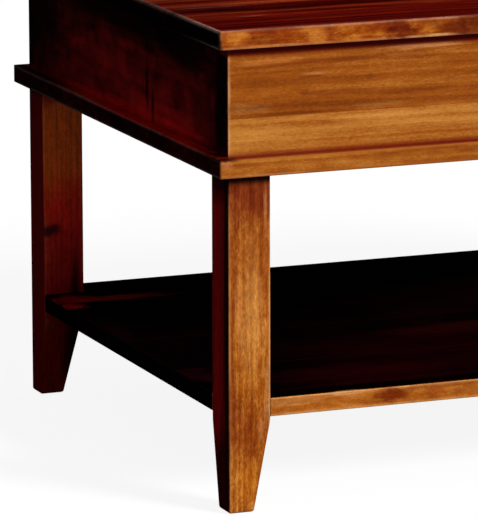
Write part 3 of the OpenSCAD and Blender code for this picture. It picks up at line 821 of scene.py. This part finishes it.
# %% Boards of a glued slab
RIM = 2 * MM  # a face further in than this doesn't lie on the outline


def glued_or_bored(seams, half_x, half_y):
    """Hidden places of a slab's board: its glued edges, and the walls of its bores. Those are the upright faces
    inside the outline that point neither along X nor along Y"""
    def hidden(m, n):
        at_seam = any(abs(m.y - s) < SAME_PLANE for s in seams) and abs(n.y) > 0.9
        inside = abs(m.x) < half_x - RIM and abs(m.y) < half_y - RIM
        return at_seam or (inside and abs(n.z) < 0.1 and 0.02 < abs(n.x) < 0.998)
    return hidden


def glued_slab(part, half_x, half_y, finish, hearts_and_tones):
    """Dresses the boards of a slab, front board first, with a dark line along each glued seam"""
    seams = [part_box(f"{part}_board_{k}")[1].y for k in (1, 2, 3)]
    for k, (heart, tone) in enumerate(hearts_and_tones, 1):
        node = f"{part}_board_{k}"
        bm = merged_copy(node)
        round_arrises(bm)
        for seam in seams:
            if any(abs(v.co.y - seam) < SAME_PLANE for v in bm.verts):
                glaze_and_shade_line(bm, "y", seam, GLUE_LINE)
        note_bare(bm, glued_or_bored(seams, half_x, half_y))
        put_on_table(bm, f"{node}_stained", [node], finish, heart, tone)


# %% [markdown]
# The heart of each log lies 6 to 11 cm below its board, so that the years show as flat arcs on the end grain
# and as long lines on the face. The first number of a heart only shifts the pattern along the grain.

# %% Top
glued_slab("top", TOP_X, TOP_Y, top_finish, (
    ((0.31, -0.21, 0.39), -0.10), ((1.7, -0.05, 0.36), 0.08),
    ((4.2, 0.09, 0.41), -0.02), ((6.9, 0.26, 0.38), 0.05),
))

# %% [markdown]
# The front and the back of the case are each glued from an upper and a lower board. Three lines of glaze
# are noted: a faint one on the seam, a broad and strong one under the top, which is painted shade, and one
# on the slab.

# %% Front and back panels
SEAM_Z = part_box("front_lower_board")[1].z
TOP_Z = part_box("front_upper_board")[1].z
CASE_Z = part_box("front_lower_board")[0].z


def inside_case(m, n):
    """Whether a panel's face looks into the case, at the top or at the slab"""
    return abs(n.z) > 0.999 or (abs(m.y) < CASE_Y - RIM and abs(m.x) < CASE_X - RIM)


for side, behind in (("front", 1), ("back", -1)):
    for level, heart, tone in (
        ("upper", (0.4, -behind * 0.24, 0.33), -0.02), ("lower", (2.9, -behind * 0.33, 0.31), 0.20),
    ):
        node = f"{side}_{level}_board"
        bm = merged_copy(node)
        round_arrises(bm)
        glaze_and_shade_line(bm, "z", SEAM_Z, 1.2 * MM, 0.3)
        # painted shade under the top's overhang
        glaze_and_shade_line(bm, "z", TOP_Z, 10.5 * MM, 2.4)
        glaze_and_shade_line(bm, "z", CASE_Z, 6 * MM, 0.7)
        note_bare(bm, inside_case)
        put_on_table(bm, f"{node}_stained", [node], front_finish, heart, tone)

# %% [markdown]
# The end panels stand between the front and the back one, and only their outer faces are stained. The
# glaze is strong under the top, where it is painted shade, and hardly there on the slab, where the left panel
# is painted a brighter crimson.

# %% End panels
for side, sign in (("left", -1), ("right", 1)):
    bm = merged_copy(f"{side}_panel")
    round_arrises(bm)
    outer = sign * CASE_X
    # the line under the top is painted shade; the faint one on the slab is glaze
    for edge, strength in ((CASE_Z, 0.15), (TOP_Z, 0.6)):
        glaze_and_shade_line(bm, "z", edge, 7 * MM, strength)
    note_bare(bm, lambda m, n: abs(m.x - outer) > 0.1 * MM)
    heart = (sign * 0.2, 0.34, sign * 0.52)
    put_on_table(bm, f"{side}_panel_stained", [f"{side}_panel"], side_finish, heart)

# %% [markdown]
# The slab under the case is made as the top is, from other places of the log.

# %% Slab under the case
glued_slab("base", TOP_X, TOP_Y, base_finish, (
    ((1.3, -0.23, 0.25), 0.04), ((3.3, -0.08, 0.26), -0.03), ((5.1, 0.1, 0.27), 0.05), ((7.7, 0.24, 0.24), 0.0),
))

# %% [markdown]
# Each leg tapers on its two inner sides below the shelf, which the CAD solid already has. The photograph
# shows that the foot is eased: its rim is rounded so that it doesn't splinter when the table is dragged.
# The end of the foot is cut off and drawn out again stroke by stroke, each stroke lower and narrower, as
# points on a quarter of a circle. The top of a leg, inside the slab's shadow, gets a dark line of painted shade.

# %% Legs
def ease_foot(bm, radius=3.6 * MM, strokes=4):
    """Cuts the end of the foot off and puts it back as a round of that radius, drawn in stroke by stroke"""
    sole = cut_off_below(bm, radius)
    bmesh.ops.recalc_face_normals(bm, faces=bm.faces)
    middle = sole[0].calc_center_bounds()
    half = max(abs(v.co.x - middle.x) for v in sole[0].verts)
    share = 1.0
    for stroke in range(1, strokes + 1):
        turn = math.pi / 2 * stroke / strokes
        before, share = share, 1 - radius * (1 - math.cos(turn)) / half
        sole = bmesh.ops.extrude_discrete_faces(bm, faces=sole)["faces"]
        for v in sole[0].verts:
            v.co.xy = middle.xy + (v.co.xy - middle.xy) * share / before
            v.co.z = radius * (1 - math.sin(turn))


for x_side, sx in (("left", -1), ("right", 1)):
    for y_side, sy in (("front", -1), ("back", 1)):
        node = f"leg_{y_side}_{x_side}"
        bm = merged_copy(node)
        ease_foot(bm)
        round_arrises(bm)
        # painted shadow under the slab
        glaze_and_shade_line(bm, "z", SLAB_UNDERSIDE, 13 * MM)
        note_bare(bm, lambda m, n: m.z > SLAB_UNDERSIDE - 1 * MM)
        heart = (1.1 * sx + 2.3 * sy, sx * 0.53, sy * 0.24)
        put_on_table(bm, f"{node}_stained", [node], leg_finish, heart)

# %% [markdown]
# The shelf is notched round the legs, which its CAD solids already are, and is otherwise made as the top.

# %% Shelf
glued_slab("shelf", CASE_X, CASE_Y, shelf_finish, (
    ((2.2, -0.22, 0.02), 0.0), ((4.5, -0.06, 0.03), -0.06), ((6.1, 0.08, 0.02), 0.05), ((8.3, 0.22, 0.04), -0.03),
))

# %% [markdown]
# What the outside hides is plain joiner's work: a rail across the case, cleats and glue blocks of pine.
# Their CAD shapes are right, so they keep them and get planed wood, whose years stand out more than those
# of a stained board.

# %% Planed wood for the hidden joinery
def planed_wood(name, grain, deep, middle, pale):
    """Wood that was planed and never stained"""
    f = Finish(name)
    along = along_grain(f, f.place(), grain)
    years = growth_rings(f, along, 3.5 * MM)
    fibre = f.cloud(along, (0.04, 0.0009, 0.0009), 3.0, 0.65)
    figure = f.math("MULTIPLY_ADD", years, -0.6, f.math("MULTIPLY_ADD", fibre, 0.7, 0.35))
    f.put(f.shader.inputs["Base Color"], f.ramp(figure, stain(*deep), stain(*middle), stain(*pale)))
    f.put(f.shader.inputs["Roughness"], f.math("MULTIPLY_ADD", fibre, 0.2, 0.6))
    height = f.math("SUBTRACT", fibre, years)
    bump = f.add("Bump", {"Height": height, "Strength": 0.3, "Distance": PORE_DEPTH})
    f.put(f.shader.inputs["Normal"], bump)
    return f.material


PINE = ((150, 108, 62), (200, 160, 108), (222, 188, 140))
BEECH = ((176, 134, 88), (212, 176, 130), (228, 198, 156))
for nodes, grain in (
    (("front_cleat", "back_cleat"), "X"), (("left_cleat", "right_cleat", "cross_rail"), "Y"),
    (("block_front_left", "block_front_right", "block_back_right", "block_back_left"), "Z"),
):
    pine = planed_wood(f"planed_pine_{grain.lower()}", grain, *PINE)
    for node in nodes:
        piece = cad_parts[node]
        piece.data.materials.clear()
        piece.data.materials.append(pine)
    print("planed wood with the grain along", grain, "on", ", ".join(nodes))

# %% [markdown]
# A CAD node holds all the dowels or screws of one kind as loose solids. One of each kind is made as a
# pattern piece, and copies of it are put where the solids lie, found by walking along the edges of each.

# %% Places of the loose solids
def solids(node):
    """Lowest and highest corner of each loose solid of a CAD node"""
    bm = solid_copy(node)
    waiting, boxes = set(bm.verts), []
    while waiting:
        reached = [waiting.pop()]
        for v in reached:
            near = {e.other_vert(v) for e in v.link_edges} & waiting
            waiting -= near
            reached.extend(near)
        boxes.append([Vector([pick(v.co[k] for v in reached) for k in range(3)]) for pick in (min, max)])
    bm.free()
    return sorted(boxes, key=lambda box: tuple(round(v, 5) for v in box[0]))


def repeat(pattern, matrices):
    """One bmesh with a copy of the pattern piece, a bmesh, under each matrix"""
    template = bpy.data.meshes.new("template")
    pattern.to_mesh(template)
    pattern.free()
    bm = bmesh.new()
    for matrix in matrices:
        count = len(bm.verts)
        bm.from_mesh(template)
        bm.verts.ensure_lookup_table()
        bmesh.ops.transform(bm, matrix=matrix, verts=bm.verts[count:])
    bpy.data.meshes.remove(template)
    return bm


print("dowels in the case:", len(solids("case_dowels")))

# %% [markdown]
# A beech dowel is pressed through a toothed die, which leaves straight flutes for the glue, and both ends
# are chamfered so that it starts easily. A cylinder with 48 sides is inset and pushed out at its caps for
# the chamfers, and every third row of its points is drawn in for 16 flutes.

# %% Fluted dowels
DOWEL_SIDES, CHAMFER_WIDTH, CHAMFER_LENGTH, FLUTE = 48, 0.8 * MM, 0.9 * MM, 0.9
LYING = {"x": Matrix.Rotation(math.pi / 2, 4, "Y"), "y": Matrix.Rotation(math.pi / 2, 4, "X"), "z": Matrix()}


def fluted_dowel(length, radius):
    """A standing dowel with its middle at the origin"""
    bm = bmesh.new()
    bmesh.ops.create_cone(
        bm, cap_ends=True, cap_tris=False, segments=DOWEL_SIDES, radius1=radius, radius2=radius,
        depth=length - 2 * CHAMFER_LENGTH,
    )
    caps = [face for face in bm.faces if len(face.verts) == DOWEL_SIDES]
    bmesh.ops.inset_region(bm, faces=caps, thickness=CHAMFER_WIDTH, depth=CHAMFER_LENGTH)
    for v in bm.verts:
        row = round(math.atan2(v.co.y, v.co.x) / math.tau * DOWEL_SIDES)
        if row % 3 == 0:
            v.co.xy *= FLUTE
    return bm


for nodes, axis in ((("case_dowels", "cross_rail_dowels"), "y"), (("leg_dowels",), "z"), (("shelf_dowels",), "x")):
    beech = planed_wood(f"dowel_beech_{axis}", axis.upper(), *BEECH)
    for node in nodes:
        boxes = solids(node)
        size = boxes[0][1] - boxes[0][0]
        dowel = fluted_dowel(size[AXES[axis]], min(size) / 2)
        places = [Matrix.Translation((low + high) / 2) @ LYING[axis] for low, high in boxes]
        put_on_table(repeat(dowel, places), f"{node}_fluted", [node], beech)

# %% [markdown]
# Bolts and screws are turned shapes with a thread cut into them. The outline of one side is drawn as a
# chain of points and spun round the axis. A thread is a saw tooth that climbs by one pitch per turn, so
# each point's radius is then cut down by how far its height and its angle are from the crest. The crest
# keeps the full radius, so the thread never leaves the smooth CAD shape.

# %% Turned and threaded steel
def turned(outline, threads=(), around=24):
    """Spins an outline of (radius, height) in mm; threads lists (start, end, pitch, share of the radius at
    the root, rows of points per turn)"""
    chain = list(outline)
    for start, end, pitch, root, rows in threads:
        k = next(i for i in range(len(chain) - 1) if chain[i][1] <= start and chain[i + 1][1] >= end)
        steps = round((end - start) / pitch * rows)
        (r0, h0), (r1, h1) = chain[k], chain[k + 1]
        cuts = [start + (end - start) * i / steps for i in range(steps + 1)]
        cuts = [h for h in cuts if h0 + 0.01 < h < h1 - 0.01]
        chain[k + 1:k + 1] = [(r0 + (r1 - r0) * (h - h0) / (h1 - h0), h) for h in cuts]
    bm = bmesh.new()
    points = [bm.verts.new((radius * MM, 0, height * MM)) for radius, height in chain]
    edges = [bm.edges.new(pair) for pair in zip(points, points[1:])]
    bmesh.ops.spin(
        bm, geom=points + edges, cent=(0, 0, 0), axis=(0, 0, 1), angle=math.tau, steps=around, use_merge=True
    )
    bmesh.ops.remove_doubles(bm, verts=bm.verts, dist=SAME_POINT / 10)
    for v in bm.verts:
        height = v.co.z / MM
        for start, end, pitch, root, rows in threads:
            if start - 1e-4 <= height <= end + 1e-4:
                turn = (height / pitch - math.atan2(v.co.y, v.co.x) / math.tau) % 1
                v.co.xy *= root + (1 - root) * abs(2 * turn - 1)
    return bm


def drive_recess(bm, half_side=1.25, depth=1.6):
    """Closes the open ring in a screw's head with a square recess"""
    ring = {v for e in bm.edges if e.is_boundary for v in e.verts}
    for v in ring:
        v.co.xy *= half_side * MM / max(abs(v.co.x), abs(v.co.y))
    bottom = bmesh.ops.holes_fill(bm, edges=[e for e in bm.edges if e.is_boundary])["faces"]
    bmesh.ops.recalc_face_normals(bm, faces=bm.faces)
    bmesh.ops.inset_region(bm, faces=bottom, thickness=0.1 * MM, depth=-depth * MM)


def steel_piece(bm, node, name):
    """Puts a copy of the turned pattern piece at each solid of the CAD node"""
    bmesh.ops.recalc_face_normals(bm, faces=bm.faces)
    boxes = solids(node)
    places = [Matrix.Translation(((low.x + high.x) / 2, (low.y + high.y) / 2, low.z)) for low, high in boxes]
    thing = put_on_table(repeat(bm, places), name, [node], zinc.material)
    thing.data.shade_smooth()
    thing.data.set_sharp_from_angle(angle=math.radians(32))


# %% [markdown]
# The fasteners are plated with zinc, a bright bluish grey whose crystals show as a fine speckle. The same
# speckle makes the roughness vary.

# %% Zinc
zinc = Finish("bright_zinc")
speckle = zinc.cloud(zinc.place(), (1.2 * MM, 1.2 * MM, 1.2 * MM), 3.0, 0.6)
plating = zinc.ramp(speckle, stain(160, 163, 170), stain(188, 190, 196), stain(206, 208, 212))
zinc.put(zinc.shader.inputs["Base Color"], plating)
zinc.shader.inputs["Metallic"].default_value = 1.0
zinc.put(zinc.shader.inputs["Roughness"], zinc.math("MULTIPLY_ADD", speckle, 0.2, 0.2))
print("zinc:", len(zinc.tree.nodes), "nodes")

# %% [markdown]
# A hanger bolt has a coarse wood thread below, which is screwed into the top of the leg, and a fine machine
# thread above for the nut. The case screws have a flat countersunk head and the top screws a rounded one,
# both with a square recess for the driver.

# %% Hanger bolts and screws
steel_piece(
    turned(((0, 0), (4, 8), (4, 47), (3.6, 48.5), (3.6, 51.5), (4, 53), (4, 79.6), (3.5, 80.1), (0, 80.1)),
           threads=((1, 7.9, 2.8, 0.7, 8), (8, 46.5, 2.8, 0.7, 8), (53, 79.5, 1.25, 0.86, 6))),
    "hanger_bolts", "hanger_bolts_threaded",
)
case_screw = turned(
    ((1.7, 0), (4.1, 0), (4.25, 0.12), (2.25, 2.1), (2.25, 14), (1.9, 15), (2.25, 16), (2.25, 40.5), (0, 45)),
    threads=((16, 40.4, 2, 0.66, 6), (40.5, 44.5, 2, 0.66, 6)), around=16,
)
drive_recess(case_screw)
steel_piece(case_screw, "case_screws", "case_screws_threaded")
top_screw = turned(
    ((1.8, 0), (2.9, 0.1), (3.8, 0.5), (4.3, 1.2), (4.5, 2), (4.5, 2.35), (4.35, 2.5),
     (2, 2.5), (2, 9), (1.7, 10), (2, 11), (2, 30.5), (0, 34.5)),
    threads=((11, 30.4, 1.8, 0.66, 6), (30.5, 34, 1.8, 0.66, 6)), around=16,
)
drive_recess(top_screw)
steel_piece(top_screw, "top_screws", "top_screws_threaded")

# %% [markdown]
# A stamped washer has slightly rounded edges and a forged nut has bevelled corners. Both start from their
# CAD solids, and every edge that turns by more than 50 degrees is bevelled.

# %% Washers and nuts
for node, width in (("washers", 0.25 * MM), ("nuts", 0.5 * MM)):
    bm = merged_copy(node)
    bevel_edges(bm, 50, 180, 0, width)
    put_on_table(bm, f"{node}_eased", [node], zinc.material)
